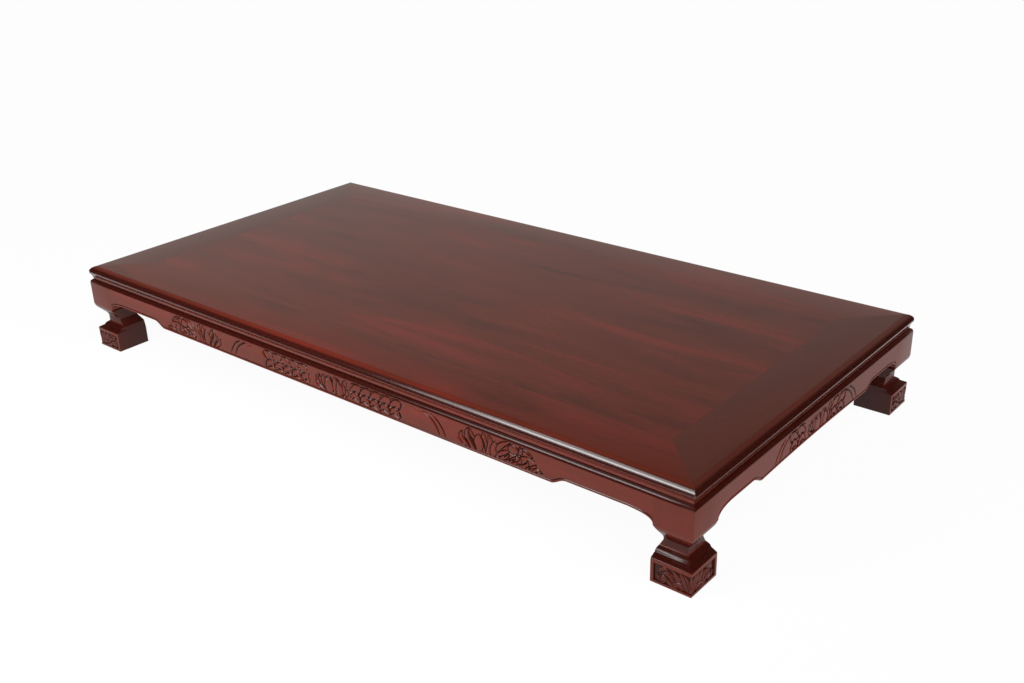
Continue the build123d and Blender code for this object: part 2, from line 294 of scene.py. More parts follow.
def sealed_hardwood(name, colour, turn):
    """Plain hardwood, planed and sealed with one thin coat.

    It is dull and dry to the eye, with even brown streaks along the grain.
    """
    made, tree = new_material(name)
    place = add(tree, "TexCoord").node.outputs["Object"]
    laid = add(tree, "Mapping", {"Vector": place, "Rotation": turn})
    fine = noise(tree, laid, (4.0, 110.0, 110.0), 5.0, 0.6, 0.3)
    streaked = ramp(tree, fine, 0.4, 0.7, 0.8)
    mixed = add(tree, "Mix", {
        "Factor": streaked, "A": (*colour, 1), "B": (*[0.5 * c for c in colour], 1)},
        data_type="RGBA")
    bump = add(tree, "Bump", {"Height": fine, "Strength": 0.3, "Distance": 0.0004})
    shader = add(tree, "BsdfPrincipled", {
        "Base Color": mixed, "Roughness": 0.55, "IOR": 1.5, "Normal": bump})
    add(tree, "OutputMaterial", {"Surface": shader})
    return made


ALONG_X = (0, 0, 0)
ALONG_Y = (0, 0, math.radians(90))
ALONG_Z = (0, math.radians(90), 0)


def finish_of(context, kind):
    """The material for one kind of piece, made once."""
    name = "lacquered_rosewood_" + kind
    if name in bpy.data.materials:
        return bpy.data.materials[name]
    colours = context.scene.kang_colours
    grain = context.scene.kang_sizes.grain_width
    body, red, dark, brown, glaze = (tuple(tone) for tone in (
        colours.heartwood, colours.red_streak, colours.dark_streak, colours.brown_wood,
        colours.glaze))
    rich, plain = (body, red, dark, glaze), (brown, body, dark, glaze)
    # the lacquer is rubbed thinner below the top
    thin = 0.45
    tones, figure, lacquer, turn, offset = {
        "panel": (rich, 1.0, 1.0, ALONG_X, (0, 0, 0)),
        "long_member": (rich, 0.8, 1.0, ALONG_X, (0.7, 1.3, 0.2)),
        "short_member": (plain, 0.5, 1.0, ALONG_Y, (2.1, 0.4, 0.6)),
        "long_apron": (rich, 0.5, thin, ALONG_X, (3.0, 2.2, 0.5)),
        "short_apron": (rich, 0.5, thin, ALONG_Y, (1.7, 3.1, 0.9)),
        "leg": (rich, 0.3, thin, ALONG_Z, (0.3, 0.8, 1.9)),
    }[kind]
    return rosewood(name, grain, tones, figure, lacquer, turn, offset)


# ---- outlines ----

def arc(centre, radius, start, end, steps):
    """Points on an arc between two angles in degrees, both ends included."""
    angles = np.radians(np.linspace(start, end, steps + 1))
    return [(centre[0] + radius * math.cos(a), centre[1] + radius * math.sin(a))
            for a in angles]


def ease_corner(line, corner, reach, steps=4):
    """The line with one corner eased over a reach on each side of it."""
    points = [Vector(p) for p in line]
    index = min(range(len(points)), key=lambda i: (points[i] - Vector(corner)).length)
    middle = points[index]
    before = [p for p in points[:index] if (p - middle).length > reach]
    after = [p for p in points[index + 1:] if (p - middle).length > reach]
    start = middle + (before[-1] - middle).normalized() * reach
    end = middle + (after[0] - middle).normalized() * reach
    shares = [i / steps for i in range(steps + 1)]
    eased = [start * (1 - t) ** 2 + middle * 2 * t * (1 - t) + end * t ** 2 for t in shares]
    return [tuple(p) for p in before + eased + after]


def edge_section():
    """Section of a frame member, inwards from the widest line of the top and up."""
    nose = (0.0, NOSE_LEVEL)
    slant = math.radians(SHOULDER_SLANT)
    centre_up = TABLE_TOP - SHOULDER_RADIUS
    slope = (centre_up + SHOULDER_RADIUS * math.sin(slant) - NOSE_LEVEL) * math.tan(slant)
    centre = (slope + SHOULDER_RADIUS * math.cos(slant), centre_up)
    shoulder = arc(centre, SHOULDER_RADIUS, 180 - SHOULDER_SLANT, 90, 18)
    lip = ease_corner([(LIP_INSET, LIP_LEVEL), LIP_TURN, nose], LIP_TURN, 7.2, 8)
    moulding = ease_corner(lip + shoulder, nose, 1.4)
    return [(WAIST_INSET, FRAME_UNDERSIDE), (WAIST_INSET, LIP_LEVEL)] + moulding + [
        (FRAME_WIDTH, TABLE_TOP),
        (FRAME_WIDTH, PANEL_UNDERSIDE + TONGUE),
        (GROOVE_BACK, PANEL_UNDERSIDE + TONGUE),
        (GROOVE_BACK, PANEL_UNDERSIDE),
        (FRAME_WIDTH, PANEL_UNDERSIDE),
        (FRAME_WIDTH, FRAME_UNDERSIDE),
    ]


def outer_leg_line():
    """Outer profile of a leg, inwards and up, from the floor to the underside of the top."""
    rim, neck = (0.0, FOOT_HEIGHT), (NECK_OUTER, NECK_LOW)
    across = FLARE_ROUND + FLARE_COVE - NECK_OUTER
    up = FLARE_TOP - NECK_HIGH
    slope = math.degrees(math.asin((FLARE_ROUND + FLARE_COVE) / math.hypot(across, up))
                         - math.atan2(across, up))
    flare_foot = arc((NECK_OUTER - FLARE_COVE, NECK_HIGH), FLARE_COVE, 0, slope, 8)
    flare_head = arc((FLARE_ROUND, FLARE_TOP), FLARE_ROUND, 180 + slope, 180, 10)
    block = [(BLOCK_EDGE, 0.0), (0.0, BLOCK_EDGE), (0.0, PANEL_LOW), (0.0, PANEL_HIGH)]
    line = block + [rim, CUSHION_FOOT, CUSHION_TURN, neck] + flare_foot + flare_head
    line += top_round()
    for corner, reach in ((CUSHION_FOOT, 0.6), (CUSHION_TURN, 2.4), (neck, 1.5), (rim, 1.5)):
        line = ease_corner(line, corner, reach, 6)
    return line + [(WAIST_INSET, FRAME_UNDERSIDE)]


def top_round():
    """Round along the top of an apron and a leg, and the shelf behind it."""
    turns = np.radians(np.linspace(0, 90, 11))
    line = [(ROUND_DEPTH * (1 - math.cos(turn)), SHELF - ROUND_HEIGHT * (1 - math.sin(turn)))
            for turn in turns]
    return line + [(WAIST_INSET, SHELF)]


def inner_leg_line():
    """Inner profile of a leg, on the two faces under the table."""
    neck, throat = (INNER_NECK, NECK_HIGH), (INNER_NECK, THROAT)
    line = [(FOOT - BLOCK_EDGE, 0.0), (FOOT, BLOCK_EDGE), (FOOT, PANEL_HIGH), HEEL, neck,
            throat, (LEG, ARCH_FOOT), (LEG, FRAME_UNDERSIDE)]
    for corner, reach in ((HEEL, 2.0), (neck, 3.0), (throat, 5.0)):
        line = ease_corner(line, corner, reach)
    return line


def leg_levels():
    """Height, outer and inner line of a leg wherever one of them turns."""
    outer, inner = outer_leg_line(), inner_leg_line()
    widths, heights = zip(*inner)
    levels = []
    for here, there in zip(outer, outer[1:]):
        levels.append(here)
        for z in heights:
            if here[1] + 0.8 < z < there[1] - 0.8:
                levels.append((float(np.interp(z, (here[1], there[1]), (here[0], there[0]))), z))
    levels.append(outer[-1])
    return [(z, s, float(np.interp(z, heights, widths))) for s, z in levels]


# ---- working by hand ----

def start_piece():
    """Leave edit mode and let go of everything."""
    if bpy.context.object and bpy.context.object.mode != "OBJECT":
        bpy.ops.object.mode_set(mode="OBJECT")
    bpy.ops.object.select_all(action="DESELECT")


def pick(piece, kind, test):
    """In edit mode, select only the faces or edges that pass a test."""
    bpy.ops.mesh.select_mode(type="FACE" if kind == "faces" else "EDGE")
    bpy.ops.mesh.select_all(action="DESELECT")
    shape = bmesh.from_edit_mesh(piece.data)
    chosen = [part for part in getattr(shape, kind) if test(part)]
    if not chosen:
        raise RuntimeError(f"nothing on {piece.name} to work on")
    for part in chosen:
        part.select_set(True)
    bmesh.update_edit_mesh(piece.data)


def pick_all(kind=None):
    """In edit mode, select everything, as corners where that is the kind."""
    if kind:
        bpy.ops.mesh.select_mode(type=kind)
    bpy.ops.mesh.select_all(action="SELECT")


def draw_outline(points):
    """Draw a closed outline, point by point, and fill it."""
    bpy.ops.mesh.primitive_plane_add(size=MM, location=points[0])
    bpy.ops.object.transform_apply()
    bpy.ops.object.mode_set(mode="EDIT")
    pick_all("VERT")
    bpy.ops.mesh.merge(type="CENTER")
    for here, there in zip(points, points[1:] + points[:1]):
        bpy.ops.mesh.extrude_vertices_move(TRANSFORM_OT_translate={"value": there - here})
    pick_all()
    bpy.ops.mesh.remove_doubles(threshold=1e-6)
    pick_all()
    bpy.ops.mesh.edge_face_add()


def cut_off(place, normal):
    """Saw off all that lies beyond a plane."""
    pick_all()
    bpy.ops.mesh.bisect(
        plane_co=place, plane_no=normal, use_fill=True, clear_outer=True, threshold=1e-7)


def close_piece(piece, name, angle):
    """Face everything outwards, leave edit mode and shade the piece."""
    pick_all()
    bpy.ops.mesh.normals_make_consistent(inside=False)
    bpy.ops.object.mode_set(mode="OBJECT")
    piece.name = name
    piece.data.name = name
    bpy.ops.object.shade_smooth_by_angle(angle=math.radians(angle))
    return piece


def rise(value, start, end):
    """Smooth rise from 0 at the start to 1 at the end."""
    share = np.clip((value - start) / (end - start), 0, 1)
    return share * share * (3 - 2 * share)


def values_of(parts, name, width=1, kind=float):
    """One value for each part of a mesh, or one row of values."""
    values = np.empty(len(parts) * width, kind)
    parts.foreach_get(name, values)
    return values.reshape(-1, width) if width > 1 else values


def paint_glaze_and_shade(piece, rule):
    """Note how thick the glaze and the painted shade lie on each face, by its places in mm and its
    direction.
    """
    mesh = piece.data
    places = values_of(mesh.vertices, "co", 3)
    corners = values_of(mesh.loops, "vertex_index", kind=int)
    normals = values_of(mesh.polygons, "normal", 3)
    sizes = values_of(mesh.polygons, "loop_total", kind=int)
    depth = rule(places[corners] / MM, np.repeat(normals, sizes, axis=0))
    layer = mesh.attributes.new("glaze", "FLOAT", "CORNER")
    layer.data.foreach_set("value", depth.astype(np.float32))


def give(piece, material):
    """Finish a piece with one material."""
    piece.data.materials.clear()
    piece.data.materials.append(material)


def fit(piece, material, node=None):
    """Give a finished piece its material, and let it ride on the table."""
    give(piece, material)
    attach(piece, "root")
    if node:
        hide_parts(node)


def set_round(piece, name, spots, material, node=None):
    """Fit a copy of a piece at each of its spots round the table, with its own mesh."""
    for spot in spots:
        turn, along, across = PLACES[spot]
        copy = piece.copy()
        copy.data = piece.data.copy()
        copy.name = name + spot
        copy.data.name = name + spot
        bpy.context.collection.objects.link(copy)
        start_piece()
        copy.select_set(True)
        bpy.context.view_layer.objects.active = copy
        copy.rotation_euler = (0, 0, math.radians(turn))
        copy.location = (along * HALF_LENGTH * MM, across * HALF_WIDTH * MM, 0)
        bpy.ops.object.transform_apply()
        fit(copy, material, node and node + spot)
    bpy.data.objects.remove(piece)


# ---- carving ----

class Relief:
    """Depth of a carved face below its surface, in millimetres, worked cut by cut.

    Places are given for the right-hand half of a design. A shift and a side move them along
    the face and mirror them.
    """

    def __init__(self, along, up, cut, ground=0.0):
        self.grid = np.stack([along, up], -1)
        self.depth = np.full(along.shape, ground)
        self.cut = cut
        self.shift = 0.0
        self.side = 1.0

    def near(self, line, reach):
        """Grid points near a curved line, their share of its length and distance off it."""
        base, middle, tip = (np.array(p, float) for p in line)
        for p in (base, middle, tip):
            p[0] = self.shift + self.side * p[0]
        pull = 2 * middle - (base + tip) / 2
        t = np.linspace(0, 1, 25)[:, None]
        curve = base * (1 - t) ** 2 + pull * 2 * t * (1 - t) + tip * t ** 2
        chosen = np.all((self.grid > curve.min(0) - reach) & (self.grid < curve.max(0) + reach),
                        axis=-1)
        points = self.grid[chosen]
        run = np.diff(curve, axis=0)
        away = points[:, None] - curve[:-1]
        share = np.clip((away * run).sum(-1) / (run ** 2).sum(-1), 0, 1)
        off = away - share[..., None] * run
        distance = np.sqrt((off ** 2).sum(-1))
        best = distance.argmin(1)
        rows = np.arange(len(points))
        part = (best + share[rows, best]) / len(run)
        return chosen, part, distance[rows, best]

    def round_over(self, depth, out, back, groove):
        """The depth with a rounded back inside an outline, and a groove cut round it."""
        wall = self.cut * np.clip(1 - np.abs(out) / groove, 0, 1)
        inside = np.maximum(back, self.cut * np.clip(1 + out / 0.8, 0, 1))
        return np.where(out < 0, inside, np.maximum(depth, wall))

    def petal(self, base, middle, tip, width, crest=0.1, edge=1.3, vein=0.0,
              broadest=0.4, point=0.8, groove=2.3):
        """Cut round a petal, and round its back over from a crest to its edge."""
        chosen, part, off = self.near((base, middle, tip), width / 2 + groove + 1)
        swell = point * broadest / (1 - broadest)
        shape = (part + 0.1) ** swell * np.clip(1 - part, 0, 1) ** point
        peak = (broadest + 0.1) ** swell * (1 - broadest) ** point
        half = width / 2 * shape / peak
        across = np.clip(off / np.maximum(half, 0.01), 0, 1)
        back = crest + (edge - crest) * across ** 2.2
        back = back + vein * np.exp(-(off / 0.8) ** 2) * np.clip(1.2 - part, 0, 1)
        self.depth[chosen] = self.round_over(self.depth[chosen], off - half, back, groove)

    def gouge(self, start, middle, end, width, depth=None, taper=0.6):
        """One stroke of a gouge along a line, fading out at both ends."""
        chosen, part, off = self.near((start, middle, end), width)
        half = width / 2 * np.sin(np.pi * np.clip(part, 0.02, 0.98)) ** taper
        stroke = (depth or self.cut) * np.clip(1 - (off / half) ** 2, 0, 1)
        self.depth[chosen] = np.maximum(self.depth[chosen], stroke)

    def boss(self, centre, radii, crest=0.1, edge=1.3, groove=2.3):
        """Cut round an oval bud and round it over."""
        centre = (self.shift + self.side * centre[0], centre[1])
        share = np.sqrt((((self.grid - centre) / radii) ** 2).sum(-1))
        back = crest + (edge - crest) * share ** 3
        self.depth = self.round_over(self.depth, (share - 1) * min(radii), back, groove)


def carve_lotus(relief):
    """Open lotus in the middle of an apron."""
    petal, gouge = relief.petal, relief.gouge
    petal((-14, 128), (-30, 131), (-42, 142), 9, vein=0.5)
    petal((-12, 130), (-30, 140), (-40, 154), 9, vein=0.5)
    petal((-8, 130), (-25, 143), (-30, 160), 10)
    petal((46, 130), (52, 139), (49, 150), 8)
    petal((47, 146), (46, 155), (52, 165), 12, broadest=0.55, point=0.5)
    petal((16, 132), (17, 148), (17, 165), 17)
    petal((-6, 130), (-17, 146), (-17, 162), 14)
    petal((34, 130), (42, 142), (39, 158), 11)
    petal((26, 126), (29, 140), (27, 156), 21, broadest=0.45, point=0.6)
    petal((0, 126), (-3, 143), (0, 162), 25, broadest=0.42, point=0.65)
    gouge((-4, 151), (-8, 156), (-9, 162), 6)
    gouge((9, 149), (6, 156), (3, 164), 7)
    gouge((31, 152), (28, 159), (22, 165), 7)
    gouge((-26, 150), (-28, 154), (-32, 160), 5)
    gouge((-22, 131), (-28, 134), (-33, 136), 4)


def carve_shell(relief):
    """One curled leaf of the chain on each side of the lotus, 28 mm long."""
    relief.petal((1, 150), (14, 155), (28, 165), 19, broadest=0.6, point=0.45, edge=0.8)
    relief.petal((0, 133), (12, 139), (26, 128), 15, broadest=0.6, point=0.5, edge=0.8)
    relief.gouge((0, 164), (13, 166.5), (28, 165), 4)
    relief.gouge((28, 164), (27, 151), (16, 141), 4.2)
    relief.gouge((4, 147), (9, 148), (15, 151), 4.5)
    relief.gouge((6, 135), (13, 132), (19, 133), 5)
    relief.gouge((20, 144), (25, 136), (26, 126), 5.5)


def carve_rings(relief):
    """Two quarter rings, with short strokes fanning from their upper ends."""
    relief.gouge((270, 164), (294, 151), (309, 127), 4.4, taper=0.3)
    relief.gouge((288, 165), (309, 152), (325, 128), 4.4, taper=0.3)
    relief.gouge((266, 165), (272, 166), (280, 164), 2.4, 1.4)
    relief.gouge((243, 165), (254, 163.5), (263, 160), 2.4, 1.0)


def carve_spray(relief):
    """Lotus on its side with leaves that run out to a point, near an end of an apron."""
    petal, gouge = relief.petal, relief.gouge
    petal((381, 128), (365, 140), (368, 155), 10)
    petal((424, 128), (421, 148), (423, 169), 17)
    petal((404, 128), (395, 146), (387, 167), 14)
    petal((394, 127), (379, 146), (385, 167), 12)
    petal((430, 128), (438, 148), (433, 168), 15)
    petal((441, 126), (446, 141), (450, 159), 18, broadest=0.5)
    petal((409, 126), (408, 143), (411, 161), 23, broadest=0.45)
    gouge((374, 144), (380, 137), (388, 128), 5)
    gouge((387, 155), (394, 142), (403, 128), 6)
    gouge((414, 158), (421, 147), (424, 130), 5.5)
    # leaves and the round bud
    petal((455, 132), (470, 142), (486, 150), 9, vein=0.6)
    petal((454, 142), (466, 157), (486, 168), 11, vein=0.7)
    petal((502, 148), (519, 158), (541, 148), 15, vein=0.6)
    petal((498, 150), (510, 156), (509, 168), 9)
    relief.boss((492, 155), (12, 9.5))
    for x, z in ((495, 166), (509, 164), (519, 160), (528, 157), (536, 152)):
        gouge((x - 3.5, z + 1), (x, z), (x + 3, z - 2), 3.6)
    # curled leaves along the foot of the spray
    petal((461, 127), (470, 131), (484, 142), 8, vein=0.5)
    petal((476, 126), (488, 131), (497, 143), 9, vein=0.5)
    petal((492, 126), (505, 131), (510, 144), 9, vein=0.5)
    petal((508, 126), (521, 131), (526, 144), 9, vein=0.5)
    petal((524, 126), (537, 132), (545, 142), 9, vein=0.5)
    petal((538, 127), (549, 131), (560, 128), 7)
    for x, z in ((472, 135), (483, 130), (492, 134), (503, 129), (520, 136), (530, 129)):
        gouge((x - 4, z - 2.5), (x, z), (x + 4, z + 2), 4)


def carve_apron(relief, leaves, rings, spray):
    """Lotus, and on each side a chain of curled leaves, quarter rings and an end spray."""
    for side in (1, -1):
        relief.side = side
        for start in leaves:
            relief.shift = side * start
            carve_shell(relief)
        relief.shift = side * rings
        carve_rings(relief)
        if spray:
            carve_spray(relief)
    relief.side, relief.shift = 1, 0
    carve_lotus(relief)


def carve_foot(relief):
    """Acanthus leaf that springs from the lower corner of a foot and curls over."""
    leaves = (
        ((30, 6), (44, 10), (52, 22), 10), ((20, 8), (36, 22), (50, 34), 12),
        ((16, 14), (30, 28), (38, 40), 13), ((50, 36), (60, 33), (66, 26), 9),
        ((34, 12), (48, 26), (62, 24), 8), ((56, 8), (66, 12), (68, 22), 8),
        ((6, 8), (22, 14), (40, 12), 11), ((4, 8), (16, 26), (24, 42), 12),
        ((2, 8), (7, 26), (19, 42), 8), ((0, 20), (1, 30), (0, 44), 9),
    )
    for base, middle, tip, width in leaves:
        relief.petal(base, middle, tip, width, crest=0.3, edge=1.9, vein=0.9, groove=1.0)
    relief.boss((57, 15), (8, 7), crest=0.4, edge=1.8, groove=1.0)
    relief.gouge((52, 20), (60, 20), (62, 12), 2.6, 2.4)


def carved_sheet(name, places, cut):
    """A fine grid laid on the carved places, closed to a solid round its back."""
    columns, rows = cut.shape
    start_piece()
    bpy.ops.mesh.primitive_grid_add(
        x_subdivisions=columns - 1, y_subdivisions=rows - 1, size=1)
    piece = bpy.context.object
    if len(piece.data.vertices) != columns * rows:
        raise RuntimeError(f"{name} needs {columns * rows} grid points")
    flat = values_of(piece.data.vertices, "co", 3) + 0.5
    column = np.rint(flat[:, 0] * (columns - 1)).astype(int)
    row = np.rint(flat[:, 1] * (rows - 1)).astype(int)
    piece.data.vertices.foreach_set("co", (places[column, row] * MM).ravel())
    # the cut attribute carries the painted shade of the carving to the material
    shade = piece.data.attributes.new("cut", "FLOAT", "POINT")
    shade.data.foreach_set("value", cut[column, row].astype(np.float32))
    piece.data.update()
    bpy.ops.object.mode_set(mode="EDIT")
    pick_all("VERT")
    bpy.ops.mesh.remove_doubles(threshold=1e-6)
    pick_all()
    bpy.ops.mesh.fill_holes(sides=0)
    return close_piece(piece, name, 50)


# ---- aprons ----

# Bead along the lower edge: distance into the wood from the edge, and depth
BEAD = ((0.0, 1.6), (0.35, 0.8), (0.9, 0.3), (1.7, 0.05), (2.6, 0.0), (3.5, 0.1),
        (4.3, 0.45), (5.0, 1.1), (5.5, 1.25), (6.1, 1.15), (6.5, 0.6), (6.7, 0.0))
FIELD_ROWS = 44


def edge_curve(corners, first=None, stop=None):
    """Function from a share of a curve and a distance into the wood to a place."""
    t = np.linspace(0, 1, 200)
    weights = ((1 - t) ** 3, 3 * t * (1 - t) ** 2, 3 * t ** 2 * (1 - t), t ** 3)
    line = sum(weight[:, None] * corner for weight, corner in zip(weights, corners))
    run = np.gradient(line, axis=0)
    inwards = np.stack([-run[:, 1], run[:, 0]], -1) / np.hypot(*run.T)[:, None]
    if first is not None:
        inwards[0] = first

    def place(share, off):
        moved = line + off * inwards
        end = 1.0 if stop is None else np.interp(stop, moved[:, 0], t)
        return tuple(float(np.interp(share * end, t, moved[:, axis])) for axis in (0, 1))
    return place


def lower_edge(half_length, step, arch, crown, level_places):
    """Right half of an apron's lower edge, as functions of the distance into the wood."""
    tip = np.array((half_length - step, LOWER_EDGE))
    steep = math.atan2(STEP_LINE[1][1], STEP_LINE[1][0])
    mitre = (-math.tan(steep / 2), 1.0)
    on_step = edge_curve([tip + corner for corner in STEP_LINE], first=mitre)
    on_arch = edge_curve([np.array((half_length - x, RAISED_EDGE - drop)) for x, drop in arch],
                         stop=half_length - LEG)

    def on_level(x, z):
        return lambda off: (x, z + off)

    places = [on_level(x, LOWER_EDGE + crown * (1 - (x / tip[0]) ** 2)) for x in level_places]
    places += [partial(on_step, share) for share in np.linspace(0, 1, STEP_POINTS)]
    places += [on_level(x, RAISED_EDGE) for x in np.linspace(
        tip[0] + STEP_LINE[-1][0], half_length - arch[0][0], RAISED_POINTS)[1:]]
    places += [partial(on_arch, share) for share in np.linspace(0, 1, ARCH_POINTS)[1:]]
    return places


def make_apron(half, design, cut_depth):
    """Apron of the front side, with its outer face on the XZ plane."""
    columns = [(-1, place) for place in half[:0:-1]] + [(1, place) for place in half]
    bead = np.array([[(side * place(off)[0], depth, place(off)[1]) for off, depth in BEAD]
                     for side, place in columns])
    x, low = bead[:, -1, 0], bead[:, -1, 2]
    round_start = SHELF - ROUND_HEIGHT
    share = np.linspace(0, 1, FIELD_ROWS + 1)[1:]
    field_up = low[:, None] + share * (round_start - low)[:, None]
    field_x = np.repeat(x[:, None], FIELD_ROWS, 1)
    relief = Relief(field_x, field_up, cut_depth / MM)
    carve_apron(relief, *design)
    depth = relief.depth * np.clip((round_start - field_up) / CARVING_FADE, 0, 1)
    field = np.stack([field_x, depth, field_up], -1)
    top = top_round()[1:] + [
        (WAIST_INSET, APRON_TOP), (APRON_THICKNESS - 0.5, APRON_TOP),
        (APRON_THICKNESS, APRON_TOP - 0.5)]
    over = np.array([[(along, y, z) for y, z in top] for along in x])
    back = bead[:, :1].copy()
    back[:, :, 1] = APRON_THICKNESS
    places = np.concatenate([back, bead, field, over, back], axis=1)
    # painted shade in each place, by its depth, in the carving and in the groove beside the bead
    cut = np.zeros(places.shape[:2])
    cut[:, 1:1 + len(BEAD)] = [min(d, 1.25) / 1.6 for _, d in BEAD]
    # the outer edge of the bead itself keeps only a little of the painted shade
    cut[:, 1] = 0.2
    cut[:, 1 + len(BEAD):1 + len(BEAD) + FIELD_ROWS] = np.clip(depth / relief.cut, 0, 1)
    piece = carved_sheet("apron", places, cut)
    # glaze on the round at the top, darkened further as painted shade under the overhang of the
    # top
    paint_glaze_and_shade(piece, lambda place, normal: rise(
        place[:, 2], round_start - 0.5, round_start + 2))
    return piece


def spaced(spans):
    """Places along an apron from spans of (start, end, step)."""
    places = []
    for start, end, step in spans:
        count = max(1, round((end - start) / step))
        places += list(np.linspace(start, end, count, endpoint=False))
    return places


# ---- operators ----

def new_object(name, data):
    """An object in the scene for a lamp or a camera."""
    made = bpy.data.objects.new(name, data)
    bpy.context.collection.objects.link(made)
    return made


def softbox(name, place, target, size, power):
    """Rectangular softbox aimed at a point."""
    light = bpy.data.lights.new(name, "AREA")
    light.shape = "RECTANGLE"
    light.size, light.size_y = size
    light.energy = power
    lamp = new_object(name, light)
    lamp.location = place
    aim = Vector(target) - Vector(place)
    lamp.rotation_euler = aim.to_track_quat("-Z", "Y").to_euler()
    lamp.visible_camera = False


def sky_light(direction, level):
    """Broad soft light from a wide opening overhead, too even to show as a reflection."""
    light = bpy.data.lights.new("sky_light", "SUN")
    light.angle = math.radians(80)
    light.energy = level * math.pi
    lamp = new_object("sky_light", light)
    lamp.rotation_euler = Vector(direction).to_track_quat("Z", "Y").to_euler()
    lamp.visible_glossy = False


def studio_floor():
    """White studio floor that stays white to the eye and keeps a soft shadow."""
    made, tree = new_material("white_studio_floor")
    rays = add(tree, "LightPath").node.outputs
    seen = rays["Is Camera Ray"]
    for kind in ("Is Glossy Ray", "Is Transmission Ray"):
        seen = add(tree, "Math", {0: seen, 1: rays[kind]}, operation="MAXIMUM")
    share = add(tree, "Math", {0: seen, 1: FLOOR_WHITE}, operation="MULTIPLY")
    matt = add(tree, "BsdfDiffuse", {"Color": (0.9, 0.9, 0.9, 1)})
    white = add(tree, "Emission", {"Color": (1, 1, 1, 1), "Strength": 1.0})
    mixed = add(tree, "MixShader", {0: share, 1: matt, 2: white})
    add(tree, "OutputMaterial", {"Surface": mixed})
    return made


def flag(name, start, end, height):
    """Black card on the floor, seen only in reflections, that hides the far floor there."""
    start_piece()
    run = Vector(end) - Vector(start)
    bpy.ops.mesh.primitive_plane_add(size=1, location=(
        *(Vector(start) + run / 2), height / 2), rotation=(
        math.radians(90), 0, math.atan2(run.y, run.x)))
    card = bpy.context.object
    card.scale = (run.length, height, 1)
    bpy.ops.object.transform_apply()
    card.name = name
    made, tree = new_material("black_card")
    matt = add(tree, "BsdfDiffuse", {"Color": (0.01, 0.01, 0.01, 1)})
    add(tree, "OutputMaterial", {"Surface": matt})
    card.data.materials.append(made)
    card.visible_camera = card.visible_diffuse = card.visible_shadow = False


def studio_room():
    """Dim room with a warm white wall on the far left that fades out upwards."""
    world = bpy.data.worlds.new("studio_room")
    world.use_nodes = True
    tree = world.node_tree
    tree.nodes.clear()
    ray = add(tree, "TexCoord").node.outputs["Generated"]
    height = add(tree, "SeparateXYZ", {"Vector": ray}).node.outputs["Z"]
    level = ramp(tree, height, WALL_TOP, 0.0, WALL_LEVEL)
    flat = add(tree, "VectorMath", {0: ray, 1: (1, 1, 0)}, operation="MULTIPLY")
    flat = add(tree, "VectorMath", {0: flat}, operation="NORMALIZE")
    toward = add(tree, "VectorMath", {
        0: flat, 1: WALL_SIDE}, operation="DOT_PRODUCT").node.outputs["Value"]
    spread = ramp(tree, toward, 0.35, 0.72, smooth=True)
    glow = add(tree, "Math", {0: level, 1: spread}, operation="MULTIPLY")
    glow = ramp(tree, glow, 0.0, 1.0, bottom=ROOM_LEVEL)
    sky = add(tree, "Background", {"Color": WALL_TONE, "Strength": glow})
    add(tree, "OutputWorld", {"Surface": sky})
    return world


def corner_camera():
    """Camera over the right front corner, with a slight roll."""
    azimuth, elevation, roll = (math.radians(a) for a in (40.150, 24.397, -1.699))
    back = Vector((math.sin(azimuth) * math.cos(elevation),
                   -math.cos(azimuth) * math.cos(elevation), math.sin(elevation)))
    side = (-back).cross(Vector((0, 0, 1))).normalized()
    up = side.cross(-back)
    right = math.cos(roll) * side + math.sin(roll) * up
    above = math.cos(roll) * up - math.sin(roll) * side
    lens = bpy.data.cameras.new("camera")
    lens.lens = 41.144
    lens.sensor_width = 36
    camera = new_object("camera", lens)
    turned = Matrix((right, above, back)).transposed().to_4x4()
    camera.matrix_world = Matrix.Translation((1.69301, -1.86408, 1.21453)) @ turned
    return camera


class KANG_OT_stage(bpy.types.Operator):
    """Lay the white floor, hang the lamps and set up the camera"""

    bl_idname = "kang.stage"
    bl_label = "Stage"

    def execute(self, context):
        scene = context.scene
        scene.view_settings.view_transform = "Standard"
        start_piece()
        bpy.ops.mesh.primitive_plane_add(size=60)
        floor = context.object
        floor.name = "floor"
        floor.data.materials.append(studio_floor())
        scene.world = studio_room()
        softbox("left_softbox", (-0.36, -1.82, 1.22), LIT_PLACE, (1.1, 1.45), 24)
        softbox("softbox_core", (-0.28, -2.06, 1.08), LIT_PLACE, (1.0, 0.45), 16)
        sky_light((0.75, -0.22, 0.50), 1.15)
        flag("front_flag", (-1.6, -0.80), (0.75, -0.80), 0.19)
        flag("right_flag", (1.16, -0.35), (1.16, 1.2), 0.32)
        scene.camera = corner_camera()
        return {"FINISHED"}


